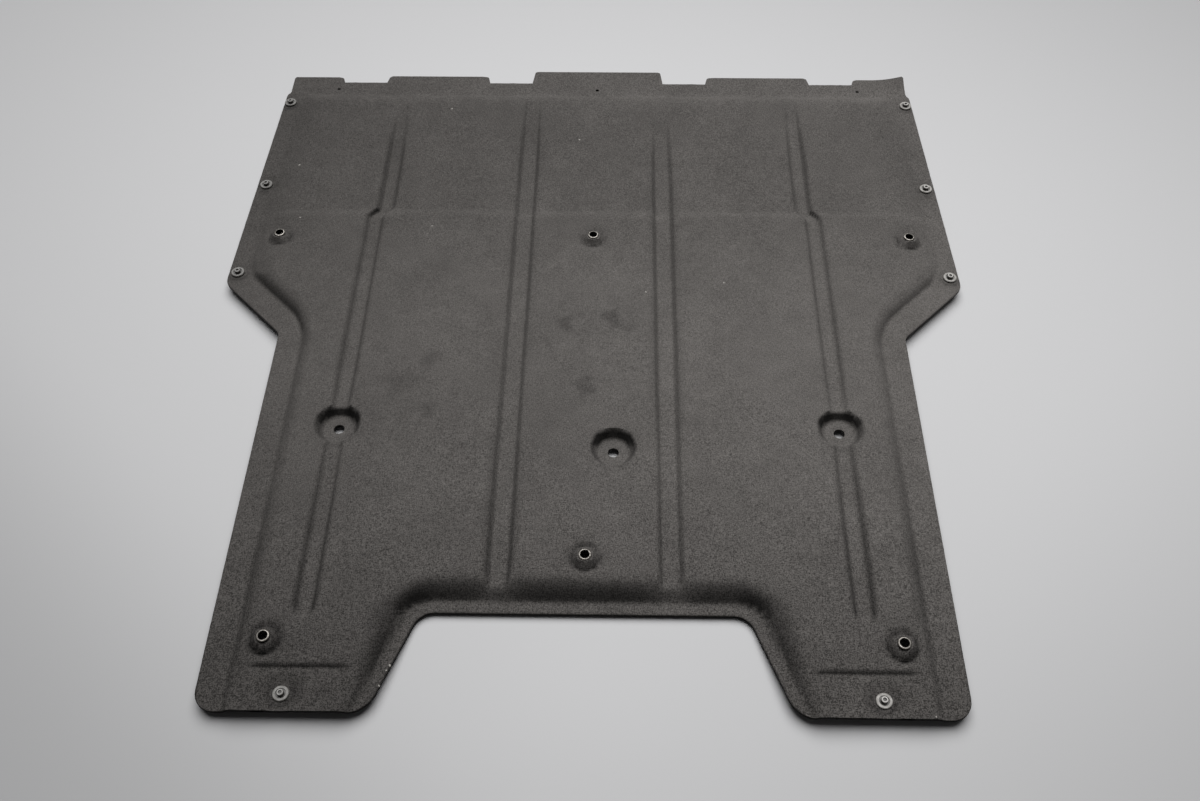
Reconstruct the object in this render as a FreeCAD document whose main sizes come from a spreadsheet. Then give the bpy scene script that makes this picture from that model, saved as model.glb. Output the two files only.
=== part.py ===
"""Engine splash shield: a pressed felt undertray, lying road side up, with its push clips and eyelets.

Millimetres, +Z up. X runs across the car, +Y points to the tabbed front edge, and the origin lies
under the middle of the panel, on the surface that the tips of the push clips rest on.
"""
import FreeCAD, Part
import math
import os
import re

import Sketcher

# Driving dimensions: alias, value, meaning
SIZES = [
    # Outline of the panel
    ("panel_length", 902, "tip of the centre tab to the rear edge of the legs"),
    ("front_width", 806, "across the corner tabs"),
    ("shoulder_width", 814, "across the side edges just behind the corner tabs"),
    ("shoulder_setback", 46, "tip of the centre tab back to the shoulders"),
    ("shoulder_slope", 5, "length over which the shoulder steps out"),
    ("ear_width", 838, "across the ears, the widest place"),
    ("ear_corner", 62.5, "place of the ear corners ahead of the middle"),
    ("leg_width", 690, "across the outer edges of the legs"),
    ("centre_tab_width", 166, "width of the centre tab"),
    ("middle_tab_width", 131, "width of each middle tab"),
    ("notch_width", 62, "width of each notch between tabs"),
    ("notch_slant", 3, "run of each notch side"),
    ("notch_depth", 24, "tip of the centre tab back to the notch floors"),
    ("middle_tab_setback", 11, "tip of the centre tab back to the middle tabs"),
    ("corner_tab_setback", 14, "tip of the centre tab back to the corner tabs"),
    ("cutout_depth", 96, "rear edge of the legs forward to the cut-out edge"),
    ("cutout_width", 307, "width of the cut-out at its straight edge"),
    ("cutout_mouth", 380, "width of the cut-out at the rear edge"),
    ("tab_radius", 3, "corners of the tabs"),
    ("ear_radius", 20, "corners of the ears"),
    ("waist_radius", 12, "inner corners between the ears and the legs"),
    ("leg_radius", 20, "outer rear corners of the legs"),
    ("heel_radius", 28, "inner rear corners of the legs"),
    ("cutout_radius", 20, "corners of the cut-out"),
    # Heights and felt
    ("felt_thickness", 4, "thickness of the felt, measured upright"),
    ("flange_lift", 8, "floor to the underside of the flange"),
    ("plateau_rise", 8.5, "flange up to the plateau"),
    ("crease_step", 1.5, "drop of the front field at the crease"),
    ("crease_place", 175, "place of the crease ahead of the middle"),
    ("leg_fall", 4.5, "fall of the legs down to their rear crease"),
    ("leg_fall_length", 66, "length over which the legs fall"),
    ("leg_crease_setback", 44, "rear edge forward to the crease of the legs"),
    ("form_depth", 12, "flange down to the base of the press form"),
    # Walls of the plateau
    ("front_flange", 51, "tip of the centre tab back to the foot of the front wall"),
    ("ear_flange", 20, "side edge in to the foot of the ear wall"),
    ("waist_flange", 28, "slanted edge in to the foot of the waist wall"),
    ("leg_flange", 27, "leg edge in to the foot of the leg wall"),
    ("cutout_flange", 16, "cut-out edge in to the foot of the cut-out wall"),
    ("front_run", 12, "run of the front wall"),
    ("ear_run", 8, "run of the ear walls"),
    ("waist_run", 10, "run of the waist walls"),
    ("leg_run", 7, "run of the outer leg walls"),
    ("cutout_run", 20, "run of the cut-out wall"),
    ("wall_corner_radius", 18, "corners of the plateau walls, seen from above"),
    ("crest_run", 5, "run of the soft crest above the walls"),
    ("crest_rise", 1.6, "rise of the soft crest above the walls"),
    # Grooves
    ("groove_depth", 4, "depth of the grooves"),
    ("groove_run", 4.5, "run of the groove walls"),
    ("inner_groove_width", 25, "width of the two inner grooves at the top"),
    ("inner_groove_spacing", 164, "between the middles of the inner grooves"),
    ("outer_groove_width", 21, "width of the two outer grooves at the top"),
    ("outer_groove_spacing", 519, "between the middles of the outer grooves behind the crease"),
    ("outer_groove_jog", 10.5, "step in of each outer groove ahead of the crease"),
    ("jog_length", 12, "length of that step"),
    ("groove_setback", 78, "tip of the centre tab back to the front ends of the grooves"),
    ("outer_groove_end", 84, "rear edge forward to the rear ends of the outer grooves"),
    # Bolt pockets
    ("pocket_depth", 11, "depth of the bolt pockets"),
    ("pocket_width", 47, "diameter of the bolt pockets at the rim"),
    ("pocket_floor", 35, "diameter of the pocket floors"),
    ("bolt_hole", 11.5, "diameter of the bolt holes"),
    ("side_pocket_place", 140, "side pockets behind the middle"),
    ("centre_pocket_place", 166.5, "centre pocket behind the middle"),
    ("centre_pocket_offset", 26, "centre pocket to the side of the centre line"),
    # Eyelets and their bosses
    ("boss_rise", 5, "bosses above the plateau"),
    ("boss_top", 14, "diameter of the boss tops"),
    ("boss_draft", 45, "slope of the boss sides from upright, in degrees"),
    ("front_eyelet_inset", 50, "side edge in to the outer front eyelets"),
    ("front_eyelet_place", 131, "front eyelets ahead of the middle"),
    ("rear_eyelet_inset", 55, "leg edge in to the rear eyelets"),
    ("rear_eyelet_setback", 67, "rear edge forward to the rear eyelets"),
    ("inner_eyelet_setback", 155, "rear edge forward to the inner rear eyelet"),
    ("eyelet_bore", 8.4, "bore of the eyelets"),
    ("eyelet_wall", 0.6, "metal thickness of the eyelets"),
    ("eyelet_flange", 12.5, "diameter of the eyelet flanges"),
    ("eyelet_roll", 0.4, "rise of the rolled lip above the flange"),
    ("eyelet_clearance", 0.2, "eyelet barrel to the felt, all round"),
    # Small holes in the tab strip
    ("tab_hole", 4.5, "diameter of the holes in the tab strip"),
    ("tab_hole_spacing", 682, "between the outer holes of the tab strip"),
    ("tab_hole_setback", 38, "tip of the centre tab back to those holes"),
    # Push clips
    ("front_clip_inset", 8.1, "side edge in to the front clips"),
    ("front_clip_setback", 68, "tip of the centre tab back to the front clips"),
    ("side_clip_inset", 10.7, "side edge in to the side clips"),
    ("side_clip_place", 226.5, "side clips ahead of the middle"),
    ("ear_clip_inset", 10.4, "side edge in to the ear clips"),
    ("ear_clip_lead", 16.5, "ear corners forward to the ear clips"),
    ("leg_clip_inset", 77.5, "leg edge in to the leg clips"),
    ("leg_clip_setback", 17, "rear edge forward to the leg clips"),
    ("clip_flange", 15, "diameter of the clip flange"),
    ("clip_flange_height", 2, "height of the clip flange"),
    ("clip_rim", 2.6, "width of the flange rim round the recess"),
    ("clip_recess", 0.8, "depth of the recess round the pin"),
    ("clip_edge", 0.6, "bevel of the flange rim and of the pin head"),
    ("clip_barrel", 8, "diameter of the clip barrel"),
    ("clip_clearance", 0.2, "clip barrel to the felt, all round"),
    ("clip_barb", 0.7, "how far the barbs stand out from the barrel"),
    ("clip_barb_gap", 1.5, "felt down to the start of the barbs"),
    ("clip_barb_length", 1.5, "length of the upper slope of the barbs"),
    ("clip_tip", 6, "diameter across the tips of the legs"),
    ("clip_slot", 1.4, "width of the slots between the legs"),
    ("pin_shank", 4, "diameter of the pin shank"),
    ("pin_clearance", 0.2, "pin shank to the grommet bore, all round"),
    ("pin_tip", 2.4, "diameter of the pin tip"),
    ("pin_tip_lift", 2.5, "floor up to the pin tip"),
    ("pin_tip_length", 1.5, "length of the pin's tapered tip"),
    ("pin_head", 6.6, "diameter of the pin head"),
    ("pin_head_height", 3.6, "height of the pin head"),
    ("pin_dimple", 3.6, "diameter of the dimple in the pin head"),
    ("pin_dimple_depth", 1, "depth of the dimple"),
]

doc = FreeCAD.newDocument("splash_shield")
sheet = doc.addObject("Spreadsheet::Sheet", "Sizes")
for row, (alias, size, meaning) in enumerate(SIZES, start=1):
    sheet.set(f"A{row}", alias)
    sheet.set(f"B{row}", str(size))
    sheet.set(f"C{row}", meaning)
    sheet.setAlias(f"B{row}", alias)
doc.recompute()
ALIASES = {alias for alias, size, meaning in SIZES}

# Heights and places that several features share, as formulas in the sheet's aliases
FRONT = "panel_length / 2"
REAR = "-panel_length / 2"
SHOULDER = f"({FRONT} - shoulder_setback - shoulder_slope)"
FLANGE = "(flange_lift + felt_thickness)"
PLATEAU = "(flange_lift + felt_thickness + plateau_rise)"
BOSS_TOP = "(flange_lift + felt_thickness + plateau_rise + boss_rise)"
CUTOUT_EDGE = f"({REAR} + cutout_depth)"
CUTOUT_LEAN = "((cutout_mouth - cutout_width) / 2 / cutout_depth)"
FORM_MARGIN = "cutout_run"
RUN_OUT = f"({REAR} - {FORM_MARGIN})"
SIDES = {"left": "-1", "right": "1"}


def side_place(y, inset):
    """Gives a place between shoulder and ear: its half width, set in from the side edge, and its Y."""
    share = f"({SHOULDER} - ({y})) / ({SHOULDER} - ear_corner)"
    return f"(shoulder_width / 2 + (ear_width - shoulder_width) / 2 * {share} - {inset})", y


PUSH_CLIPS = {
    "front": side_place(f"{FRONT} - front_clip_setback", "front_clip_inset"),
    "side": side_place("side_clip_place", "side_clip_inset"),
    "ear": side_place("ear_corner + ear_clip_lead", "ear_clip_inset"),
    "leg": ("(leg_width / 2 - leg_clip_inset)", f"{REAR} + leg_clip_setback"),
}
FRONT_EYELET = side_place("front_eyelet_place", "front_eyelet_inset")
REAR_EYELET = ("(leg_width / 2 - rear_eyelet_inset)", f"{REAR} + rear_eyelet_setback")
EYELETS = {
    "front_left": (f"-{FRONT_EYELET[0]}", FRONT_EYELET[1]),
    "front_centre": ("0", FRONT_EYELET[1]),
    "front_right": FRONT_EYELET,
    "rear_left": (f"-{REAR_EYELET[0]}", REAR_EYELET[1]),
    "rear_centre": ("0", f"{REAR} + inner_eyelet_setback"),
    "rear_right": REAR_EYELET,
}
BOLT_POCKETS = [
    ("-outer_groove_spacing / 2", "-side_pocket_place"),
    ("outer_groove_spacing / 2", "-side_pocket_place"),
    ("centre_pocket_offset", "-centre_pocket_place"),
]


def cells(formula):
    """Turns a formula in plain aliases into one that reads the sheet."""
    return re.sub(r"[a-z_]+", lambda word: f"Sizes.{word[0]}" if word[0] in ALIASES else word[0], formula)


def bind(thing, size, formula):
    """Ties a size of an object to the sheet."""
    thing.setExpression(size, cells(formula))


def value(formula):
    """Gives the number that a formula comes to."""
    return float(sheet.evalExpression(cells(formula)))


def mirrored(corners):
    """Closes a half outline, listed from front to rear on the right, with its mirror image on the left."""
    return corners + [(f"-({corner[0]})",) + corner[1:] for corner in reversed(corners)]


def new_sketch(body, name, role="XY_Plane", lift="0"):
    """Starts a sketch on a plane of the body's origin, raised by a formula."""
    sketch = body.newObject("Sketcher::SketchObject", name)
    plane = next(item for item in body.Origin.OriginFeatures if item.Role == role)
    sketch.AttachmentSupport = [(plane, "")]
    sketch.MapMode = "FlatFace"
    bind(sketch, "AttachmentOffset.Base.z", lift)
    return sketch


def constrain(sketch, constraints):
    """Adds constraints to a sketch: each is a tuple and, where it has a size, a formula."""
    rules = [Sketcher.Constraint(*rule) if formula is None else Sketcher.Constraint(*rule, value(formula))
             for rule, formula in constraints]
    for index, (rule, formula) in zip(sketch.addConstraint(rules), constraints):
        if formula is not None:
            bind(sketch, f"Constraints[{index}]", formula)


def pinned(geometry, point, x, y):
    """Lists the constraints that hold one point of a sketch at a place given by two formulas."""
    return [(("DistanceX", -1, 1, geometry, point), x), (("DistanceY", -1, 1, geometry, point), y)]


def add_polygon(sketch, corners):
    """Draws a closed polygon whose corners are two place formulas, and a radius formula where rounded."""
    count = len(corners)
    places = [FreeCAD.Vector(value(corner[0]), value(corner[1]), 0) for corner in corners]
    arrivals, departures = [], []
    for i, place in enumerate(places):
        back = (places[i - 1] - place).normalize()
        ahead = (places[(i + 1) % count] - place).normalize()
        radius = value(corners[i][2]) if len(corners[i]) > 2 else 0
        cut = radius / math.tan(back.getAngle(ahead) / 2)
        arrivals.append(place + back * cut)
        departures.append(place + ahead * cut)
    lines = [Part.LineSegment(departures[i], arrivals[(i + 1) % count]) for i in range(count)]
    sides = sketch.addGeometry(lines)
    constraints = []
    for i, corner in enumerate(corners):
        if len(corner) > 2:
            ends = (arrivals[i], departures[i])
            constraints += add_round_corner(sketch, sides[i - 1], sides[i], ends, places[i], corner)
        else:
            constraints.append((("Coincident", sides[i - 1], 2, sides[i], 1), None))
            constraints += pinned(sides[i], 1, *corner)
    constrain(sketch, constraints)


def add_round_corner(sketch, side_in, side_out, ends, place, corner):
    """Joins two sides by an arc and lists its constraints, with the sharp corner as a pinned point."""
    x, y, radius = corner
    arrival, departure = ends
    turn = (place - arrival).cross(departure - place).z
    inward = FreeCAD.Vector(arrival.y - place.y, place.x - arrival.x, 0).normalize()
    centre = arrival + inward * math.copysign(value(radius), turn)
    first, last = (arrival, departure) if turn > 0 else (departure, arrival)
    angles = [math.atan2(end.y - centre.y, end.x - centre.x) for end in (first, last)]
    circle = Part.Circle(centre, FreeCAD.Vector(0, 0, 1), value(radius))
    arc = sketch.addGeometry(Part.ArcOfCircle(circle, angles[0], angles[1]))
    sharp = sketch.addGeometry(Part.Point(place), True)
    start, finish = (1, 2) if turn > 0 else (2, 1)
    return [
        (("Tangent", side_in, 2, arc, start), None),
        (("Tangent", arc, finish, side_out, 1), None),
        (("Radius", arc), radius),
        (("PointOnObject", sharp, 1, side_in), None),
        (("PointOnObject", sharp, 1, side_out), None),
    ] + pinned(sharp, 1, x, y)


def add_circle(sketch, x, y, diameter):
    """Draws a circle from formulas for its centre and diameter."""
    centre = FreeCAD.Vector(value(x), value(y), 0)
    geometry = sketch.addGeometry(Part.Circle(centre, FreeCAD.Vector(0, 0, 1), value(diameter) / 2))
    constrain(sketch, pinned(geometry, 3, x, y) + [(("Diameter", geometry), diameter)])


def extrude(body, kind, name, sketch, length, spread="0"):
    """Pads a sketch upwards, or pockets it upwards, with sides that spread by an angle from upright."""
    feature = body.newObject(f"PartDesign::{kind}", name)
    feature.Profile = sketch
    feature.Reversed = kind == "Pocket"
    bind(feature, "Length", length)
    bind(feature, "TaperAngle", spread)
    return feature


# Outline of the blank
def side_corners():
    """Lists the right half of the outline from the front edge round the ear and the leg to the cut-out."""
    return [
        ("front_width / 2", FRONT),
        ("front_width / 2", f"{SHOULDER} + shoulder_slope"),
        ("shoulder_width / 2", SHOULDER),
        ("ear_width / 2", "ear_corner", "ear_radius"),
        ("leg_width / 2", "ear_corner - (ear_width - leg_width) / 2", "waist_radius"),
        ("leg_width / 2", REAR, "leg_radius"),
        ("cutout_mouth / 2", REAR, "heel_radius"),
        ("cutout_width / 2", CUTOUT_EDGE, "cutout_radius"),
    ]


def front_waste(sign):
    """Lists the corners of what is cut away ahead of the tabs, on one side of the centre tab."""
    clear = f"{FRONT} + notch_depth"
    reach = "centre_tab_width / 2"
    tip = FRONT
    floor = f"{FRONT} - notch_depth"
    corners = [(reach, clear)]
    for next_tip in (f"{FRONT} - middle_tab_setback", f"{FRONT} - corner_tab_setback"):
        corners.append((reach, tip, "tab_radius"))
        corners.append((f"{reach} + notch_slant", floor, "tab_radius"))
        corners.append((f"{reach} + notch_width - notch_slant", floor, "tab_radius"))
        corners.append((f"{reach} + notch_width", next_tip, "tab_radius"))
        reach = f"{reach} + notch_width + middle_tab_width"
        tip = next_tip
    corners.append(("front_width / 2 + notch_depth", tip))
    corners.append(("front_width / 2 + notch_depth", clear))
    return [(f"{sign} * ({corner[0]})",) + corner[1:] for corner in corners]


def make_blank():
    """The flat trimming shape: the outline with every hole, taller than the pressed form."""
    body = doc.addObject("PartDesign::Body", "blank")
    base = f"{FLANGE} - form_depth - felt_thickness"
    height = "form_depth * 2 + plateau_rise + boss_rise + felt_thickness"
    outline = new_sketch(body, "outline", lift=base)
    add_polygon(outline, mirrored(side_corners()))
    extrude(body, "Pad", "blank_pad", outline, height)
    waste = new_sketch(body, "front_waste", lift=base)
    for sign in SIDES.values():
        add_polygon(waste, front_waste(sign))
    extrude(body, "Pocket", "tabs", waste, height)
    holes = new_sketch(body, "holes")
    for x, y in BOLT_POCKETS:
        add_circle(holes, x, y, "bolt_hole")
    for x, y in EYELETS.values():
        add_circle(holes, x, y, "eyelet_bore + 2 * eyelet_wall + 2 * eyelet_clearance")
    for reach, y in PUSH_CLIPS.values():
        for sign in SIDES.values():
            add_circle(holes, f"{sign} * {reach}", y, "clip_barrel + 2 * clip_clearance")
    for sign in ("-1", "0", "1"):
        add_circle(holes, f"{sign} * tab_hole_spacing / 2", f"{FRONT} - tab_hole_setback", "tab_hole")
    drilled = body.newObject("PartDesign::Pocket", "drilled")
    drilled.Profile = holes
    drilled.Type = "ThroughAll"
    drilled.Midplane = True
    return body


# Pressed form
def wall_corners(share, crest):
    """Lists the plateau's walls from front to rear, set in by a share of each run and a crest width."""
    ear = f"(ear_flange + {share} * ear_run + {crest})"
    waist = f"(ear_width / 2 - ear_corner - (waist_flange + {share} * waist_run + {crest}) * sqrt(2))"
    leg = f"(leg_width / 2 - leg_flange - {share} * leg_run - {crest})"
    cutout = f"(cutout_flange + {share} * cutout_run + {crest})"
    inner = f"cutout_mouth / 2 + {cutout} * sqrt(1 + {CUTOUT_LEAN} ^ 2)"
    radius = "wall_corner_radius"
    return [
        (f"shoulder_width / 2 - {ear}", f"{FRONT} - front_flange - {share} * front_run - {crest}", radius),
        (f"ear_width / 2 - {ear}", f"ear_width / 2 - {ear} - {waist}", radius),
        (leg, f"{leg} - {waist}", radius),
        (leg, RUN_OUT),
        (f"{inner} + cutout_run * {CUTOUT_LEAN}", RUN_OUT),
        (f"{inner} - (cutout_depth + {cutout}) * {CUTOUT_LEAN}", f"{CUTOUT_EDGE} + {cutout}", radius),
    ]


def add_plateau(body):
    """Lofts the raised field from its wall's foot over a soft crest to the flat top."""
    levels = {
        "wall_foot": (FLANGE, wall_corners("0", "0")),
        "wall_head": (f"{PLATEAU} - crest_rise", wall_corners("1", "0")),
        "wall_crest": (PLATEAU, wall_corners("1", "crest_run")),
    }
    sections = []
    for name, (lift, corners) in levels.items():
        sections.append(new_sketch(body, name, lift=lift))
        add_polygon(sections[-1], mirrored(corners))
    plateau = body.newObject("PartDesign::AdditiveLoft", "plateau")
    plateau.Profile = sections[0]
    plateau.Sections = sections[1:]
    plateau.Ruled = True


def trim_long_section(body):
    """Lowers the field ahead of the crease, and lets the legs fall to the flange."""
    section = new_sketch(body, "long_section", role="YZ_Plane")
    above = f"{BOSS_TOP} + form_depth"
    leg_crease = f"{REAR} + leg_crease_setback"
    add_polygon(section, [
        (f"{FRONT} + {FORM_MARGIN}", f"{PLATEAU} - crease_step"),
        ("crease_place", f"{PLATEAU} - crease_step"),
        ("crease_place - 2 * crease_step", PLATEAU),
        (f"{leg_crease} + leg_fall_length", PLATEAU),
        (leg_crease, f"{PLATEAU} - leg_fall"),
        (f"{leg_crease} - (plateau_rise - leg_fall)", FLANGE),
        (RUN_OUT, FLANGE),
        (RUN_OUT, above),
        (f"{FRONT} + {FORM_MARGIN}", above),
    ])
    trimmed = body.newObject("PartDesign::Pocket", "long_section_trim")
    trimmed.Profile = section
    trimmed.Type = "ThroughAll"
    trimmed.Midplane = True


def groove_edges(kind, sign):
    """Gives the two edges of the floor of an inner or outer groove."""
    half_floor = f"({kind}_groove_width / 2 - groove_run)"
    return [f"{sign} * {kind}_groove_spacing / 2 {edge} {half_floor}" for edge in "-+"]


def cut_grooves(body):
    """Presses the four grooves: straight inner ones, and outer ones that step in ahead of the crease."""
    floors = new_sketch(body, "grooves", lift=f"{PLATEAU} - groove_depth")
    front = f"{FRONT} - groove_setback - groove_run"
    end = f"{REAR} + outer_groove_end + groove_run"
    jog_front = "crease_place + jog_length / 2"
    jog_rear = "crease_place - jog_length / 2"
    for sign in SIDES.values():
        near, far = groove_edges("inner", sign)
        add_polygon(floors, [(near, front), (far, front), (far, CUTOUT_EDGE), (near, CUTOUT_EDGE)])
        near, far = groove_edges("outer", sign)
        near_ahead, far_ahead = (f"{edge} - {sign} * outer_groove_jog" for edge in (near, far))
        add_polygon(floors, [(near_ahead, front), (far_ahead, front), (far_ahead, jog_front),
                             (far, jog_rear), (far, end), (near, end),
                             (near, jog_rear), (near_ahead, jog_front)])
    slope = "atan(groove_run / groove_depth)"
    extrude(body, "Pocket", "groove_cut", floors, "groove_depth + crest_rise", slope)


def cut_pockets(body):
    """Presses the three bolt pockets, wider at the rim than at the floor."""
    floors = new_sketch(body, "bolt_pockets", lift=f"{PLATEAU} - pocket_depth")
    for x, y in BOLT_POCKETS:
        add_circle(floors, x, y, "pocket_floor")
    slope = "atan((pocket_width - pocket_floor) / 2 / pocket_depth)"
    extrude(body, "Pocket", "bolt_pocket_cut", floors, "pocket_depth + crest_rise", slope)


def raise_bosses(body):
    """Raises a cone under each eyelet."""
    feet = new_sketch(body, "bosses", lift=FLANGE)
    rise = "(plateau_rise + boss_rise)"
    for x, y in EYELETS.values():
        add_circle(feet, x, y, f"boss_top + 2 * {rise} * tan(boss_draft)")
    extrude(body, "Pad", "boss_pad", feet, rise, "-boss_draft")


def make_form():
    """The press form: everything below the upper face of the felt, wider than the blank."""
    body = doc.addObject("PartDesign::Body", "form")
    base = new_sketch(body, "form_base", lift=f"{FLANGE} - form_depth")
    half_width = f"ear_width / 2 + {FORM_MARGIN}"
    add_polygon(base, mirrored([(half_width, f"{FRONT} + {FORM_MARGIN}"), (half_width, RUN_OUT)]))
    extrude(body, "Pad", "flange_level", base, "form_depth")
    add_plateau(body)
    trim_long_section(body)
    cut_grooves(body)
    cut_pockets(body)
    raise_bosses(body)
    return body


def make_felt_panel(blank, form):
    """The felt: the form's upper layer, one felt thickness deep, cut to the blank."""
    trimmed = doc.addObject("Part::Common", "trimmed_form")
    trimmed.Base = form
    trimmed.Tool = blank
    under_form = doc.addObject("App::Link", "under_form")
    under_form.LinkedObject = form
    bind(under_form, "Placement.Base.z", "-felt_thickness")
    felt = doc.addObject("Part::Cut", "felt_panel")
    felt.Base = trimmed
    felt.Tool = under_form
    felt.Label = "felt_panel"
    return felt


def make_turned(label, x, y, profile):
    """A turned piece: a half section of radius and height formulas, revolved and set at a place."""
    body = doc.addObject("PartDesign::Body", label)
    body.Label = label
    section = new_sketch(body, f"{label}_section", role="XZ_Plane")
    add_polygon(section, profile)
    turned = body.newObject("PartDesign::Revolution", f"{label}_turned")
    turned.Profile = section
    turned.ReferenceAxis = (section, ["V_Axis"])
    turned.Angle = 360
    bind(body, "Placement.Base.x", x)
    bind(body, "Placement.Base.y", y)
    return body


RECESS_FLOOR = f"({FLANGE} + clip_flange_height - clip_recess)"
PIN_BORE = "(pin_shank / 2 + pin_clearance)"
BARB_TOP = "(flange_lift - clip_barb_gap)"


def make_clip_grommet(label, x, y):
    """The outer half of a push clip: a dished flange on a barbed barrel that is slotted into four legs."""
    top = f"{FLANGE} + clip_flange_height"
    recess = "(clip_flange / 2 - clip_rim)"
    body = make_turned(label, x, y, [
        (PIN_BORE, "0"),
        ("clip_tip / 2", "0"),
        ("clip_barrel / 2 + clip_barb", f"{BARB_TOP} - clip_barb_length"),
        ("clip_barrel / 2", BARB_TOP),
        ("clip_barrel / 2", FLANGE),
        ("clip_flange / 2", FLANGE),
        ("clip_flange / 2", f"{top} - clip_edge"),
        ("clip_flange / 2 - clip_edge", top),
        (recess, top),
        (recess, RECESS_FLOOR),
        (PIN_BORE, RECESS_FLOOR),
    ])
    for role in ("XZ_Plane", "YZ_Plane"):
        slot = new_sketch(body, f"{label}_slot_{role[:2]}", role=role)
        add_polygon(slot, [("-clip_slot / 2", "-clip_slot"), ("clip_slot / 2", "-clip_slot"),
                           ("clip_slot / 2", BARB_TOP), ("-clip_slot / 2", BARB_TOP)])
        cut = body.newObject("PartDesign::Pocket", f"{label}_slot_cut_{role[:2]}")
        cut.Profile = slot
        cut.Type = "ThroughAll"
        cut.Midplane = True
    return body


def make_clip_pin(label, x, y):
    """The inner half of a push clip: a dimpled head that stands in the recess, on a tapered shank."""
    top = f"{RECESS_FLOOR} + pin_head_height"
    return make_turned(label, x, y, [
        ("0", "pin_tip_lift"),
        ("pin_tip / 2", "pin_tip_lift"),
        ("pin_shank / 2", "pin_tip_lift + pin_tip_length"),
        ("pin_shank / 2", RECESS_FLOOR),
        ("pin_head / 2", RECESS_FLOOR),
        ("pin_head / 2", f"{top} - clip_edge"),
        ("pin_head / 2 - clip_edge", top),
        ("pin_dimple / 2", top),
        ("pin_dimple / 2", f"{top} - pin_dimple_depth"),
        ("0", f"{top} - pin_dimple_depth"),
    ])


def make_eyelet(label, x, y):
    """A metal eyelet: a flange with a rolled lip on the boss, clinched over below the felt."""
    bore = "eyelet_bore / 2"
    barrel = "eyelet_bore / 2 + eyelet_wall"
    under = f"{BOSS_TOP} - felt_thickness"
    return make_turned(label, x, y, [
        (bore, f"{under} - eyelet_wall"),
        ("eyelet_flange / 2 - eyelet_wall", f"{under} - eyelet_wall"),
        ("eyelet_flange / 2 - eyelet_wall", under),
        (barrel, under),
        (barrel, BOSS_TOP),
        ("eyelet_flange / 2", BOSS_TOP),
        ("eyelet_flange / 2", f"{BOSS_TOP} + eyelet_wall"),
        (barrel, f"{BOSS_TOP} + eyelet_wall + eyelet_roll"),
        (bore, f"{BOSS_TOP} + eyelet_wall"),
    ])


def make_all():
    """Builds every piece of the shield and lists them."""
    pieces = [make_felt_panel(make_blank(), make_form())]
    for place, (reach, y) in PUSH_CLIPS.items():
        for side, sign in SIDES.items():
            x = f"{sign} * {reach}"
            pieces.append(make_clip_grommet(f"clip_grommet_{place}_{side}", x, y))
            pieces.append(make_clip_pin(f"clip_pin_{place}_{side}", x, y))
    for place, (x, y) in EYELETS.items():
        pieces.append(make_eyelet(f"eyelet_{place}", x, y))
    return pieces


pieces = make_all()
doc.recompute()

for item in doc.Objects:
    if "Invalid" in item.State or "Error" in item.State:
        raise RuntimeError(f"{item.Label} did not build: {item.State}")
for piece in pieces:
    if piece.Shape.isNull() or not piece.Shape.isValid() or len(piece.Shape.Solids) != 1:
        raise RuntimeError(f"{piece.Label} is not one sound solid")

os.makedirs("parts", exist_ok=True)
for piece in pieces:
    piece.Shape.exportStep(f"parts/{piece.Label}.step")
    print(piece.Label, round(piece.Shape.Volume, 1), piece.Shape.BoundBox)
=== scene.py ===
"""Engine splash shield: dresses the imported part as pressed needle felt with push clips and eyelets.

Sizes are in millimetres until a mesh is written, which is in metres, in the part's own frame:
X across the car, +Y towards the tabbed front edge, +Z up through the road side of the felt.
"""
from __future__ import annotations

import logging
import math
from dataclasses import dataclass, field
from enum import Enum
from functools import reduce

import bpy
import numpy as np
from mathutils import Matrix, Vector

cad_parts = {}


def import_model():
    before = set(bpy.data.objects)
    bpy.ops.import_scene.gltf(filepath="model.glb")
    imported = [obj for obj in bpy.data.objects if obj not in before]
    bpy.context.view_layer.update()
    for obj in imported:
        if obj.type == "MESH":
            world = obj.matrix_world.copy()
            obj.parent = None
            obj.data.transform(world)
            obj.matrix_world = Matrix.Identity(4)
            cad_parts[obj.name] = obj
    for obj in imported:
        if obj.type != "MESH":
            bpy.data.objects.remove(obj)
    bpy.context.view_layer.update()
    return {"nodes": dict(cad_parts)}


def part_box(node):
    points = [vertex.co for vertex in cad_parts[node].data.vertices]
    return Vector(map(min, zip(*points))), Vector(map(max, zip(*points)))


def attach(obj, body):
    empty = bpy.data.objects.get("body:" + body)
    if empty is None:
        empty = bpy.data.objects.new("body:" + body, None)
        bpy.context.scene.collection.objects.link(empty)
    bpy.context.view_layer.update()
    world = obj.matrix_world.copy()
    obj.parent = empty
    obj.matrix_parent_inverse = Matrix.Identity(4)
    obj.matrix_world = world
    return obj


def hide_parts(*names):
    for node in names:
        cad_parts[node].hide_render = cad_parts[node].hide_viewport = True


MM = 0.001
FAR = 1e3
TINY = 1e-6
TAB_ROW = 1000
BODY = "root"
POCKETS = ((-259.5, -140.0), (259.5, -140.0), (26.0, -166.5))
TAB_HOLES = ((-341.0, 413.0), (0.0, 413.0), (341.0, 413.0))
# Radius of each kind of hole, and the reach over which the grid is rounded to it
EYELET_HOLE = (5.03, 15.0)
POCKET_HOLE = (5.75, 40.0)
TAB_HOLE = (2.6, 8.0)
REAR_DISH = 1.6
Array = np.ndarray
Socket = bpy.types.NodeSocket
Pair = tuple[float, float]
Triple = tuple[float, float, float]
Colour = tuple[float, float, float, float]
Rows = tuple[tuple[float, ...], ...]
log = logging.getLogger("splash_shield")


class Slot(Enum):
    """The record's material slots."""

    FELT = "felt"
    CLIP = "clip_plastic"
    EYELET = "eyelet_metal"


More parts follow.
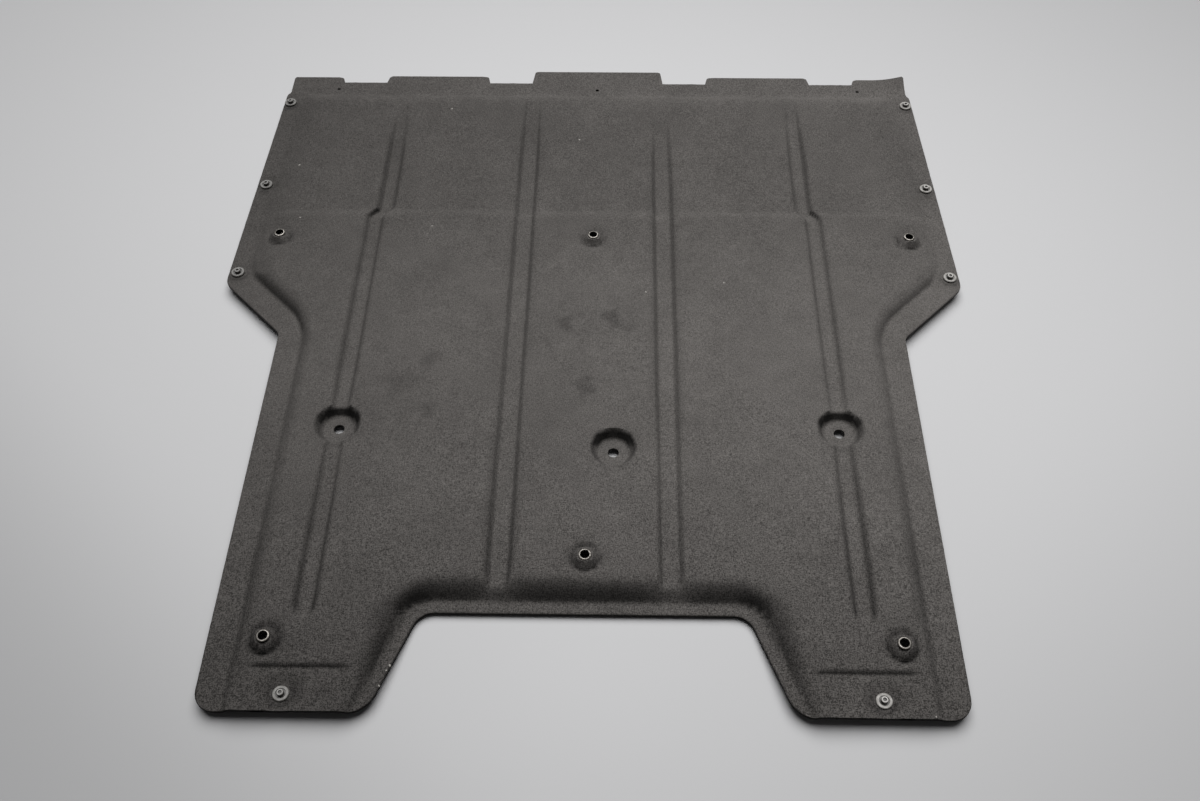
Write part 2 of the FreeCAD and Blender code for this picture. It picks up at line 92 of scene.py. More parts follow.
def stand(name: str, data: bpy.types.ID) -> bpy.types.Object:
    """Makes an object of a mesh, light or camera, and links it to the scene."""
    made = bpy.data.objects.new(name, data)
    bpy.context.scene.collection.objects.link(made)
    return made


# Plain profile functions
def soft_ramp(t: Array, rounding: float = 0.3) -> Array:
    """A ramp from 0 to 1 as t goes from 0 to 1, with both ends rounded by parabolas.

    Args:
        t: Place along the ramp, as a share of its run.
        rounding: Half length of each parabola, as a share of the run.

    Returns:
        The height share at each place.
    """
    def soft_positive(s: Array) -> Array:
        """Zero below, s above, and a parabola in between."""
        bend = (np.clip(s, -rounding, rounding) + rounding) ** 2 / (4 * rounding)
        return np.where(s > rounding, s, bend)

    return soft_positive(t) - soft_positive(t - 1)


def crowned_ramp(t: Array, foot: float) -> Array:
    """A ramp from 0 to 1 with a crisp foot, rounding over to the flat along its whole run.

    Args:
        t: Place along the ramp, as a share of its run.
        foot: Half length of the small parabola at the foot, as a share of the run.

    Returns:
        The height share at each place.
    """
    bend = (np.clip(t, -foot, foot) + foot) ** 2 / (4 * foot)
    climb = np.clip(np.where(t > foot, t, bend), 0, 1)
    return 1 - (1 - climb) ** 2


def soft_min(a: Array, b: Array | float, width: float) -> Array:
    """The lower of two heights, with a parabola of the given width where they cross."""
    blend = np.clip(width - np.abs(a - b), 0, None)
    return np.minimum(a, b) - blend ** 2 / (4 * width)


def soft_max(a: Array, b: Array | float, width: float) -> Array:
    """The higher of two heights, with a parabola of the given width where they cross."""
    return -soft_min(-a, -b, width)


def round_min(a: Array, b: Array, radius: float) -> Array:
    """The lower of two distances, with a circular corner of the given radius."""
    inside = np.maximum(radius, np.minimum(a, b))
    return inside - np.hypot(np.clip(radius - a, 0, None), np.clip(radius - b, 0, None))


def bell(distance: Array, width: float) -> Array:
    """A bell curve: 1 at distance 0, falling to a third at the width."""
    return np.exp(-(distance / width) ** 2)


def graded(stops: list[Pair]) -> Array:
    """Grid lines through every stop, with about the stop's own spacing up to the next one.

    Args:
        stops: Places in rising order, each with the spacing wanted after it.

    Returns:
        The places of the lines.
    """
    lines = [np.array([stops[0][0]])]
    for (start, step), (end, _) in zip(stops, stops[1:]):
        count = max(1, round((end - start) / step))
        lines.append(np.linspace(start, end, count + 1)[1:])
    return np.concatenate(lines)


def rounded_path(corners: list[Triple], steps: int) -> Array:
    """A path of straight runs joined by tangent arcs.

    Args:
        corners: X, Y and corner radius of each point, with radius 0 at the ends.
        steps: Points on each arc.

    Returns:
        The path's points, one row each.
    """
    points = []
    for i, (x, y, radius) in enumerate(corners):
        here = np.array([x, y])
        if radius == 0:
            points.append(here[None])
            continue
        back = np.array(corners[i - 1][:2]) - here
        ahead = np.array(corners[i + 1][:2]) - here
        back /= np.linalg.norm(back)
        ahead /= np.linalg.norm(ahead)
        half = math.acos(float(back @ ahead)) / 2
        centre = here + (back + ahead) / np.linalg.norm(back + ahead) * radius / math.sin(half)
        first = here + back * radius / math.tan(half) - centre
        last = here + ahead * radius / math.tan(half) - centre
        turn = np.linspace(0, 1, steps)[:, None] * (math.pi - 2 * half)
        spread = math.sin(math.pi - 2 * half)
        points.append(centre + (first * np.sin(turn[::-1]) + last * np.sin(turn)) / spread)
    return np.concatenate(points)


@dataclass(frozen=True)
class Outline:
    """The trimmed edge of the felt, as half widths over Y."""

    front: float = 451.0
    rear: float = -451.0
    notch_floor: float = 427.0
    notch_slant: float = 3.0
    tab_radius: float = 3.0
    front_half: float = 403.0
    shoulder_half: float = 407.0
    shoulder: float = 405.0
    shoulder_slope: float = 5.0
    ear_half: float = 419.0
    ear_corner: float = 62.5
    leg_half: float = 345.0
    ear_radius: float = 20.0
    waist_radius: float = 12.0
    leg_radius: float = 20.0
    heel_radius: float = 28.0
    cutout_edge: float = -349.0
    cutout_half: float = 153.5
    mouth_half: float = 190.0
    cutout_radius: float = 20.0
    arc_steps: int = 24
    tabs: Rows = (
        (-403.0, -335.0, 437.0), (-279.0, -142.0, 440.0), (-86.0, 86.0, 451.0),
        (142.0, 279.0, 440.0), (335.0, 403.0, 437.0))

    @property
    def lean(self) -> float:
        """How far the cut-out's sides lean out for each step to the rear."""
        return (self.mouth_half - self.cutout_half) / (self.cutout_edge - self.rear)

    def half_width(self, y: Array) -> Array:
        """The outer edge, along straight runs and corner arcs.

        Args:
            y: Places along the panel.

        Returns:
            The edge's X at each place.
        """
        path = rounded_path([
            (self.leg_half - self.leg_radius, self.rear, 0),
            (self.leg_half, self.rear, self.leg_radius - TINY),
            (self.leg_half, self.ear_corner - (self.ear_half - self.leg_half), self.waist_radius),
            (self.ear_half, self.ear_corner, self.ear_radius),
            (self.shoulder_half, self.shoulder - self.shoulder_slope, 0),
            (self.front_half, self.shoulder, 0),
            (self.front_half, self.front, 0)], self.arc_steps)
        return np.interp(y, path[:, 1], path[:, 0])

    def cutout_start(self) -> float:
        """X on the cut-out's straight edge where its corner arc begins."""
        half_turn = (math.pi / 2 + math.atan(self.lean)) / 2
        return self.cutout_half - self.cutout_radius / math.tan(half_turn)

    def inner_edge(self, y: Array) -> Array:
        """The leg's inner edge, from the heel's arc to the arc of the cut-out's corner.

        Args:
            y: Places behind the cut-out's straight edge.

        Returns:
            The edge's X at each place.
        """
        path = rounded_path([
            (self.leg_half, self.rear, 0),
            (self.mouth_half, self.rear, self.heel_radius),
            (self.cutout_half, self.cutout_edge, self.cutout_radius),
            (0, self.cutout_edge, 0)], self.arc_steps)
        return np.interp(y, path[1:-1, 1], path[1:-1, 0])


@dataclass(frozen=True)
class Press:
    """The pressed form: heights of the felt's upper face over X and Y."""

    outline: Outline
    bosses: Rows
    pockets: tuple[Pair, ...]
    clips: tuple[Pair, ...]
    felt: float = 4.0
    flange: float = 12.0
    rise: float = 8.5
    # Crease across the panel, and the fall, fold and rise of the legs
    crease: float = 175.0
    crease_step: float = 1.4
    crease_lead: float = 3.5
    crease_run: float = 5.0
    crease_rounding: float = 0.5
    leg_fall: float = 2.8
    leg_fall_length: float = 66.0
    leg_fall_rounding: float = 0.15
    leg_crease: float = -407.0
    leg_end_rise: float = 3.8
    fold_depth: float = 1.2
    fold_span: Pair = (211.0, 298.0)
    fold_fade: float = 14.0
    fold_setback: float = 3.0
    fold_width: float = 2.2
    sharp_run: float = 4.0
    gentle_run: float = 44.0
    # Walls, with the runs of the front, ear, waist, leg and cut-out walls
    front_flange: float = 51.0
    ear_flange: float = 20.0
    waist_flange: float = 28.0
    leg_flange: float = 27.0
    cutout_flange: float = 12.5
    runs: tuple[float, ...] = (22.0, 42.0, 20.0, 17.0, 27.0)
    run_blend: float = 3.0
    run_least: float = 0.35
    leg_setback: float = 20.0
    wall_foot: float = 0.1
    corner_radius: float = 18.0
    # Drooping lip of the cut-out
    lip_droop: float = 6.0
    lip_half: float = 225.0
    lip_side_fade: float = 40.0
    lip_front: float = -250.0
    lip_rear: float = -368.0
    lip_fade: float = 60.0
    # Grooves, each pair by its middle and the half width of its floor
    groove_depth: float = 5.5
    groove_slope: float = 1.15
    groove_foot: float = 1.0
    groove_crest: float = 2.0
    inner_groove: Pair = (82.0, 8.2)
    outer_groove: Pair = (259.5, 6.2)
    outer_jog: float = 10.5
    jog_length: float = 14.0
    groove_front: float = 368.5
    outer_groove_end: float = -362.5
    front_run_out: float = 95.0
    rear_run_out: float = 12.0
    run_out_bend: float = 0.2
    pocket_run_out: float = 0.5
    pocket_run_out_reach: float = 42.0
    # Pockets, bosses and clip seats
    pocket_floor: float = 9.5
    pocket_radius: float = 17.5
    pocket_slope: float = 11.0 / 6.0
    pocket_foot: float = 2.0
    pocket_crest: float = 1.6
    boss_top: float = 25.5
    boss_radius: float = 8.0
    boss_slope: float = 1.6
    boss_reach: float = 30.0
    boss_foot: float = 1.4
    ring_radius: float = 12.8
    ring_depth: float = 1.2
    ring_width: float = 3.8
    seat_radius: float = 9.0
    seat_slope: float = 0.3
    seat_foot: float = 1.5
    seat_crest: float = 0.4
    # Waves, by length and start across, along and aslant, and the curled corner of the right tab
    wave: float = 0.8
    waves: Rows = ((71.0, 0.6), (93.0, -0.4), (47.0, 1.9))
    slant_wave: float = 0.7
    curl: float = 7.0
    curl_reach: float = 42.0

    def plateau(self, x: Array, y: Array) -> Array:
        """Share of the plateau's rise: a crowned ramp over the distance from the wall's foot.

        Each wall gives a distance from its own foot line. Outer corners take the lower of two
        distances with a round corner, inner corners the higher, and the run blends likewise.

        Args:
            x: Places across.
            y: Places along.

        Returns:
            The share there.
        """
        o = self.outline
        ax = np.abs(x)
        ear_lean = (o.ear_half - o.shoulder_half) / (o.shoulder - o.shoulder_slope - o.ear_corner)
        ear_line = o.ear_half - self.ear_flange - ear_lean * (y - o.ear_corner)
        front = o.front - self.front_flange - y
        ear = (ear_line - ax) / math.hypot(1, ear_lean)
        waist = (y - ax + o.ear_half - o.ear_corner) / math.sqrt(2) - self.waist_flange
        leg = o.leg_half - self.leg_flange - ax
        side_line = o.cutout_half + o.lean * (o.cutout_edge - y)
        cutout_side = (ax - side_line) / math.hypot(1, o.lean) - self.cutout_flange
        cutout_front = y - o.cutout_edge - self.cutout_flange
        radius = self.corner_radius
        outer = round_min(ear, -round_min(-waist, -leg, radius), radius)
        cutout = -round_min(-cutout_side, -cutout_front, radius)
        distance = round_min(round_min(front, outer, radius), cutout, radius)
        waist_alone = np.where(waist > leg, waist, FAR)
        leg_alone = np.where(leg > waist, leg, FAR)
        walls = np.stack([front, ear, waist_alone, leg_alone, cutout])
        weight = np.exp(-np.abs(walls - distance) / self.run_blend)
        run = np.tensordot(self.runs, weight, 1) / weight.sum(0)
        lowered = np.clip((self.field_height(x, y) - self.flange) / self.rise, self.run_least, 1)
        run = run * np.where(y < o.cutout_edge - self.leg_setback, lowered, 1)
        return crowned_ramp(distance / run, self.wall_foot)

    def lip(self, x: Array, y: Array) -> Array:
        """How far the cut-out's lip droops: most along its straight edge, none at the legs' ends."""
        along = 1 - soft_ramp((self.lip_rear - y) / self.lip_fade)
        across = 1 - soft_ramp((np.abs(x) - self.lip_half) / self.lip_side_fade)
        return self.lip_droop * along * across * (y < self.lip_front)

    def crease_drop(self, y: Array) -> Array:
        """How far the front field lies lower, stepping down at the crease."""
        along = (y - self.crease + self.crease_lead) / self.crease_run
        return self.crease_step * soft_ramp(along, self.crease_rounding)

    def field_height(self, x: Array, y: Array) -> Array:
        """The plateau's height: low ahead of the crease, falling along the legs, and folded across each.

        Args:
            x: Places across.
            y: Places along.

        Returns:
            The height there.
        """
        height = self.flange + self.rise - self.crease_drop(y)
        fall_start = self.leg_crease + self.leg_fall_length
        fall = soft_ramp((fall_start - y) / self.leg_fall_length, self.leg_fall_rounding)
        drop = self.rise - self.leg_fall - self.leg_end_rise
        inside = np.minimum(np.abs(x) - self.fold_span[0], self.fold_span[1] - np.abs(x))
        folded = soft_ramp(inside / self.fold_fade + 0.5)
        fold = self.fold_depth * bell(y - self.leg_crease + self.fold_setback, self.fold_width)
        sharp = soft_ramp((self.leg_crease - y) / self.sharp_run)
        gentle = soft_ramp((self.leg_crease - y) / self.gentle_run + 0.5)
        step = drop * (sharp * folded + gentle * (1 - folded))
        return height - self.leg_fall * fall - fold * folded - step

    def groove(self, x: Array, y: Array) -> Array:
        """Height of the groove pressing: flat floors with sloped sides that rise from each floor's edge.

        Args:
            x: Places across.
            y: Places along.

        Returns:
            The height there.
        """
        ax = np.abs(x)
        inner = np.abs(ax - self.inner_groove[0]) - self.inner_groove[1]
        jog = self.outer_jog * soft_ramp((y - self.crease) / self.jog_length + 0.5)
        outer = np.abs(ax - self.outer_groove[0] + jog) - self.outer_groove[1]
        ahead = (y - self.groove_front) / self.front_run_out + 1
        behind = np.where(outer < inner, (self.outer_groove_end - y) / self.rear_run_out + 1, -1)
        past = np.maximum(ahead, behind)
        beside = np.minimum(inner, outer)
        floor = self.flange + self.rise - self.groove_depth - self.crease_drop(y)
        run_out = self.groove_depth * soft_max(past, 0.0, self.run_out_bend)
        for px, py in self.pockets:
            near = bell(np.hypot(x - px, y - py), self.pocket_run_out_reach)
            run_out = run_out + self.pocket_run_out * self.groove_depth * near
        return floor + run_out + self.groove_slope * soft_max(beside, 0.0, self.groove_foot)

    def height(self, x: Array, y: Array) -> Array:
        """Height of the upper face: plateau, waves, grooves, pockets, bosses, seats and the curled tab.

        Grooves, pockets and seats are cones and troughs that take the lower height where they cross
        the field, and bosses are cones that take the higher one, each with a rounded crossing.

        Args:
            x: Places across.
            y: Places along.

        Returns:
            The height there.
        """
        share = self.plateau(x, y)
        z = self.flange + (self.field_height(x, y) - self.flange) * share - self.lip(x, y) * (1 - share)
        across, along, aslant = [place / length + start for place, (length, start) in
                                 zip((x, y, x + y), self.waves)]
        waves = np.sin(across) * np.cos(along) + self.slant_wave * np.sin(aslant)
        z = z + self.wave * share * waves
        z = soft_min(z, self.groove(x, y), self.groove_crest)
        for px, py in self.pockets:
            r = np.hypot(x - px, y - py) - self.pocket_radius
            wall = self.pocket_floor + self.pocket_slope * soft_max(r, 0.0, self.pocket_foot)
            z = soft_min(z, wall, self.pocket_crest)
        for bx, by, dish in self.bosses:
            r = np.hypot(x - bx, y - by)
            z = z - (dish + self.ring_depth) * bell(r - self.ring_radius, self.ring_width)
            cone = self.boss_top - self.boss_slope * np.clip(r - self.boss_radius, 0, self.boss_reach)
            z = soft_max(z, cone, self.boss_foot)
        for cx, cy in self.clips:
            r = np.hypot(x - cx, y - cy) - self.seat_radius
            seat = self.flange + self.seat_slope * soft_max(r, 0.0, self.seat_foot)
            z = soft_min(z, seat, self.seat_crest)
        corner = np.hypot(x - self.outline.front_half, y - self.outline.tabs[-1][2])
        return z + self.curl * np.clip(1 - corner / self.curl_reach, 0, 1) ** 2


@dataclass(frozen=True)
class PaintedShade:
    """Painted shade of the felt: how much darker it is painted on walls, rims and rings where shade falls,
    and lighter where light is painted. Rings are strength, radius and width.
    """

    press: Press
    step: float = 0.5
    # Painted shade of the walls, by the way they face, and a painted highlight along the crease
    side: float = 0.25
    side_behind: float = 0.15
    behind: Pair = (-180.0, 120.0)
    side_cutout: float = 0.4
    cutout_reach: float = 20.0
    cutout_fade: float = 40.0
    rear: float = 0.72
    rear_start: float = 0.3
    rear_bend: float = 0.35
    front: float = 0.04
    bay_share: float = 0.75
    bay_width: float = 18.0
    bay_reach: float = 60.0
    bay_fade: float = 20.0
    crease_light: float = 0.08
    crease_width: float = 5.0
    # Painted shade of the rings and rims, and a painted highlight on the bosses' near flanks
    pocket_ring: Triple = (0.16, 26.0, 3.5)
    # Share of the painted wall shade taken away on and round each boss
    boss_calm: float = 0.85
    boss_calm_radius: float = 16.0
    boss_ring: Triple = (0.34, 13.4, 1.7)
    boss_dish: float = 0.10 / 0.34
    # Painted highlight on each boss's near flank, lightening the shade there; less on dished bosses
    flank_highlight_ring: Triple = (-0.5, 9.5, 2.5)
    flank_highlight_dish: float = 0.5
    clip_ring: Triple = (0.5, 11.0, 2.2)
    clip_share: float = 0.3
    limit: float = 0.86
    # Painted shade of the cut rim: its lower edge everywhere, and its upper edge along the cut-out and the
    # legs' ends
    rim: float = 0.92
    near_rim: float = 0.78

    def walls(self, x: Array, y: Array) -> Array:
        """Painted shade of the walls, from the slopes across X and up towards +Y, less a painted highlight
        along the crease.

        Rear-facing walls darken past a slope and then level off, and the cut-out's wall is darkest in
        the bays between the grooves.

        Args:
            x: Places across.
            y: Places along.

        Returns:
            The shade there.
        """
        p = self.press
        edge = p.outline.cutout_edge
        slope_x = np.abs(p.height(x + self.step, y) - p.height(x - self.step, y)) / (2 * self.step)
        slope_y = (p.height(x, y + self.step) - p.height(x, y - self.step)) / (2 * self.step)
        inner_wall = soft_ramp((p.lip_half + p.lip_fade - np.abs(x)) / self.cutout_fade)
        inner_wall = inner_wall * soft_ramp((edge + self.cutout_reach - y) / self.cutout_fade)
        behind = soft_ramp((self.behind[0] - y) / self.behind[1])
        side = self.side + self.side_behind * behind + self.side_cutout * inner_wall
        at_wall = soft_ramp((edge + self.bay_reach - y) / self.bay_fade)
        bay = 1 - self.bay_share * at_wall * bell(np.abs(x) - p.inner_groove[0], self.bay_width)
        steep = np.clip(slope_y - self.rear_start, 0, None) / self.rear_bend
        shade = side * slope_x + self.rear * bay * np.tanh(steep)
        shade = shade + self.front * np.clip(-slope_y, 0, None)
        return shade - self.crease_light * bell(y - p.crease + self.crease_width, self.crease_width)

    def shade(self, x: Array, y: Array) -> Array:
        """Painted shade of the walls and of the rings round pockets, bosses and clips, mostly on near
        sides, with a painted highlight on the bosses' near flanks.

        Args:
            x: Places across.
            y: Places along.

        Returns:
            The shade there.
        """
        shade = self.walls(x, y)

        def ring(cx: float, cy: float, form: Triple) -> tuple[Array, Array, Array]:
            """Distance from a centre, share of its near side, and a ring of painted shade round it, which
            is painted light where the strength is below zero.
            """
            r = np.hypot(x - cx, y - cy)
            return r, np.clip((cy - y) / np.maximum(r, TINY), 0, 1), form[0] * bell(r - form[1], form[2])

        for px, py in self.press.pockets:
            _, near_side, dark = ring(px, py, self.pocket_ring)
            shade = shade + near_side * dark
        for bx, by, dish in self.press.bosses:
            r, near_side, dark = ring(bx, by, self.boss_ring)
            shade = shade * (1 - self.boss_calm * np.exp(-(r / self.boss_calm_radius) ** 6))
            shade = shade + (1 + self.boss_dish * dish) * dark
            # Painted highlight on the boss's near flank
            flank_highlight = ring(bx, by, self.flank_highlight_ring)[2]
            shade = shade + (1 - self.flank_highlight_dish * dish) * near_side * flank_highlight
        for cx, cy in self.press.clips:
            _, near_side, dark = ring(cx, cy, self.clip_ring)
            shade = shade + (self.clip_share + (1 - self.clip_share) * near_side) * dark
        return np.clip(shade, self.flank_highlight_ring[0], self.limit)


@dataclass
class FeltPanel:
    """The felt: one grid of columns and rows bent to the outline, with an upper and a lower face.

    Columns run from -3 to 3: to 1 over the inner band, to 2 over the outer band, and to 3 along the
    edge. Rows are places along Y, and past TAB_ROW they are shares of the tabs' length.
    """

    press: Press
    painted_shade: PaintedShade
    holes: list[tuple[float, ...]]
    edge_band: float = 45.0
    inner_band: float = 292.0
    squeeze_end: float = 229.0
    rear_band: float = 21.0
    lip_row: float = -368.0
    edge_drop: float = 0.7
    edge_wander: float = 0.12
    sharp_angle: float = math.radians(48)
    seed: int = 7
    columns: Array = field(init=False)
    rows: Array = field(init=False)
    edge: Array = field(init=False)

    def __post_init__(self) -> None:
        """Lays the grid lines: dense at grooves, pockets, bosses and walls, wide on the flats.

        Each stop is a place and the spacing after it. The left half mirrors the right half.
        """
        o = self.press.outline
        right = [(61, 6), (68, 2.3), (86, 2.5), (96, 7), (o.cutout_start(), 7), (142, 7.5),
                 (self.squeeze_end, 2.7), (253.75, 2.3), (265.25, 2.7), (279, 3), (285, 3.5),
                 (self.inner_band, 1)]
        before = [6] + [step for _, step in right[:-1]]
        left = [(-place, step) for (place, _), step in zip(reversed(right), reversed(before))]
        middle = [(-16, 3), (-5, 2.75), (-2.25, 2.25), (2.25, 2.75), (5, 2.9), (20.25, 2.9),
                  (31.75, 2.9), (50, 5.5)]
        fixed = graded(left + middle + right)
        bands = graded([(0, 0.125), (0.375, 0.06), (0.6515, 0.05), (0.7083, 0.068), (0.7765, 0.05),
                        (0.8735, 0.045), (1, 1)])[1:]
        self.edge = graded([(0, 0.9), (0.9, 2.6), (14, 2.6), (self.edge_band, 1)])[::-1][1:]
        count = len(self.edge) + 1
        self.columns = np.concatenate([
            -2 - np.linspace(1, 0, count)[:-1], -1 - bands[::-1], fixed / self.inner_band,
            1 + bands, 2 + np.linspace(0, 1, count)[1:]])
        rear = np.concatenate([o.rear + self.rear_band * np.linspace(0, 1, 9) ** 2, [-426, -420]])
        legs = graded([(-415, 2), (-401, 3), (-389, 3.3), (-379, 3.2), (self.lip_row, 3)])
        cut = o.cutout_edge - (o.cutout_edge - self.lip_row) * np.linspace(1, 0, 8)[1:] ** 2
        ahead = graded([
            (o.cutout_edge, 1), (o.cutout_edge + 1, 2.1), (-312, 2.2), (-301, 3.3), (-291, 2.6),
            (-278, 7.5), (-205, 4), (-192, 2.9), (-172.25, 2.9), (-160.75, 2.5), (-145.75, 2.9),
            (-134.25, 2.6), (-112, 7.5), (-40, 4), (-20, 3.2), (75, 4.5), (113, 2.6), (126, 3.3),
            (136, 2.6), (149, 4.5), (164, 2.2), (184, 7.5), (358, 3.4), (404, 3), (410.75, 2.25),
            (415.25, 3), (426, 1), (o.notch_floor, 1)])
        tab = np.array([0.25, 0.45, 0.62, 0.76, 0.86, 0.93, 0.975, 1.0])
        self.rows = np.concatenate([rear, legs, cut, ahead[1:], TAB_ROW + tab])

    def plan(self) -> tuple[Array, Array, Array]:
        """Places of the grid's crossings, and which cells are felt.

        Inside a fixed band the columns are straight. Outside it they stretch between that band and the
        outer edge. Behind the cut-out they squeeze to the legs, and ahead of the notches to the tabs.

        Returns:
            X and Y of each crossing, by row and column, and a mask of the cells that are felt.
        """
        o = self.press.outline
        u = self.columns[None, :]
        in_tab = self.rows >= TAB_ROW
        y_row = np.where(in_tab, o.notch_floor, self.rows)
        half = o.half_width(y_row)[:, None]
        au = np.abs(u)
        band = self.inner_band + (au - 1) * (half - self.edge_band - self.inner_band)
        count = len(self.edge)
        edge_columns = 2 + np.arange(count + 1) / count
        from_edge = np.interp(au, edge_columns, np.concatenate([[self.edge_band], self.edge]))
        outside = np.sign(u) * np.where(au <= 2, band, half - from_edge)
        x_straight = np.where(au <= 1, u * self.inner_band, outside)
        y = np.repeat(y_row[:, None], x_straight.shape[1], 1)

        start = o.cutout_start()
        behind = (y_row < o.cutout_edge)[:, None]
        inner = o.inner_edge(y_row)[:, None]
        ax = np.abs(x_straight)
        share = np.clip((ax - start) / (self.squeeze_end - start), 0, 1)
        squeezed = np.sign(x_straight) * (inner + share * (self.squeeze_end - inner))
        on_leg = behind & (ax >= start - TINY) & (ax <= self.squeeze_end)
        x = np.where(on_leg, squeezed, x_straight)

        base = x[~in_tab][-1]
        share = np.where(in_tab, self.rows - TAB_ROW, 0)[:, None]
        for left, right, tip in o.tabs:
            inside = (base >= left - MM) & (base <= right + MM)
            y_tab = o.notch_floor + share * (tip - o.notch_floor)
            slant = o.notch_slant * share
            bite = np.clip(y_tab - tip + o.tab_radius, 0, None)
            slant = slant + o.tab_radius - np.sqrt(o.tab_radius ** 2 - bite ** 2)
            upright = slant - o.notch_slant * share
            lo = left + np.where(left > -o.front_half + 1, slant, upright)
            hi = right - np.where(right < o.front_half - 1, slant, upright)
            fitted = lo + (base[None, :] - left) / (right - left) * (hi - lo)
            here = in_tab[:, None] & inside[None, :]
            x = np.where(here, fitted, x)
            y = np.where(here, y_tab, y)

        def middle(values: Array) -> Array:
            """The mean of each cell's four corners."""
            return (values[:-1, :-1] + values[1:, :-1] + values[:-1, 1:] + values[1:, 1:]) / 4

        cell_row = (y_row[:-1] + y_row[1:]) / 2
        felt = ~((cell_row < o.cutout_edge)[:, None] & (np.abs(middle(x_straight)) < start))
        base_middle = (base[:-1] + base[1:]) / 2
        on_tab = np.any([(base_middle > left) & (base_middle < right) for left, right, _ in o.tabs], 0)
        felt &= ~(in_tab[1:][:, None] & ~on_tab[None, :])
        for hx, hy, size, _ in self.holes:
            felt &= ~(np.maximum(np.abs(middle(x) - hx), np.abs(middle(y) - hy)) < size)
        for hole in self.holes:
            x, y = self.round_hole(x, y, *hole)
        return x, y, felt

    @staticmethod
    def round_hole(x: Array, y: Array, hx: float, hy: float, size: float,
                   reach: float) -> tuple[Array, Array]:
        """Turns the grid's squares round a hole into circles, fading out at a reach.

        A crossing at square distance s and true distance r moves along its own ray to distance s.

        Args:
            x: X of each crossing.
            y: Y of each crossing.
            hx: X of the hole's middle.
            hy: Y of the hole's middle.
            size: The hole's radius.
            reach: Square distance at which the grid is left as it was.

        Returns:
            The moved X and Y.
        """
        dx, dy = x - hx, y - hy
        square = np.maximum(np.abs(dx), np.abs(dy))
        true = np.maximum(np.hypot(dx, dy), TINY * MM)
        weight = 1 - soft_ramp((square - 0.45 * reach) / (0.55 * reach))
        weight = np.where(square < size * 1.02, 1, weight)
        scale = 1 + weight * (square / true - 1)
        return hx + dx * scale, hy + dy * scale

    @staticmethod
    def faces(felt: Array, index: Array) -> tuple[Array, Array]:
        """The quads of both faces and of the wall between them, round every open side of a felt cell.

        Args:
            felt: Mask of the cells that are felt.
            index: Number of each crossing of the upper face. The lower face's numbers follow on.

        Returns:
            The quads, and the rim's edges on the upper face.
        """
        rows, columns = index.shape
        a, b = index[:-1, :-1], index[:-1, 1:]
        c, d = index[1:, 1:], index[1:, :-1]
        padded = np.pad(felt, 1)
        edges = []
        for row_step, column_step, start, end in ((-1, 0, a, b), (0, 1, b, c), (1, 0, c, d), (0, -1, d, a)):
            beyond = padded[1 + row_step:rows + row_step, 1 + column_step:columns + column_step]
            open_side = felt & ~beyond
            edges.append(np.stack([start[open_side], end[open_side]], 1))
        rim = np.concatenate(edges)
        count = index.size
        top = np.stack([a[felt], b[felt], c[felt], d[felt]], 1)
        under = np.stack([a[felt], d[felt], c[felt], b[felt]], 1) + count
        wall = np.stack([rim[:, 0], rim[:, 0] + count, rim[:, 1] + count, rim[:, 1]], 1)
        return np.concatenate([top, under, wall]), rim

    def build(self, finish: FeltFinish) -> None:
        """Makes the closed mesh: upper face, lower face one felt thickness below, and the cut rim.

        Args:
            finish: The felt's finish.
        """
        x, y, felt = self.plan()
        count = x.size
        faces, rim = self.faces(felt, np.arange(count).reshape(x.shape))
        z = self.press.height(x, y).ravel()
        on_rim = np.zeros(count, bool)
        on_rim[rim.ravel()] = True
        wander = np.random.default_rng(self.seed).normal(0, self.edge_wander, count)
        pinch = on_rim * (self.edge_drop + wander)
        upper = np.stack([x.ravel(), y.ravel(), z - pinch], 1)
        lower = np.stack([x.ravel(), y.ravel(), z - self.press.felt + pinch], 1)
        points = np.concatenate([upper, lower])
        used, packed = np.unique(faces, return_inverse=True)
        mesh = bpy.data.meshes.new("felt_panel_moulded")
        mesh.from_pydata((points[used] * MM).tolist(), [], packed.reshape(faces.shape).tolist())
        mesh.polygons.foreach_set("use_smooth", np.ones(len(faces), bool))
        mesh.set_sharp_from_angle(angle=self.sharp_angle)
        mesh.update()
        # Painted shade per point, kept on the mesh for the felt's colour; the cut rim is painted dark, most
        # at the cut-out and the legs' ends
        upper_shade = self.painted_shade.shade(x, y).ravel()
        near_rim = on_rim & (y.ravel() < self.press.outline.cutout_edge + 1)
        upper_shade = np.where(near_rim, np.maximum(upper_shade, self.painted_shade.near_rim), upper_shade)
        shade = np.concatenate([upper_shade, on_rim * self.painted_shade.rim])[used].astype(np.float32)
        mesh.attributes.new("painted_shade", "FLOAT", "POINT").data.foreach_set("value", shade)
        panel = stand("felt_panel_moulded", mesh)
        panel.data.materials.append(finish.material())
        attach(panel, BODY)
        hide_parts("felt_panel")
        log.info("felt panel: %d faces, %d triangles", len(faces), 2 * len(faces))


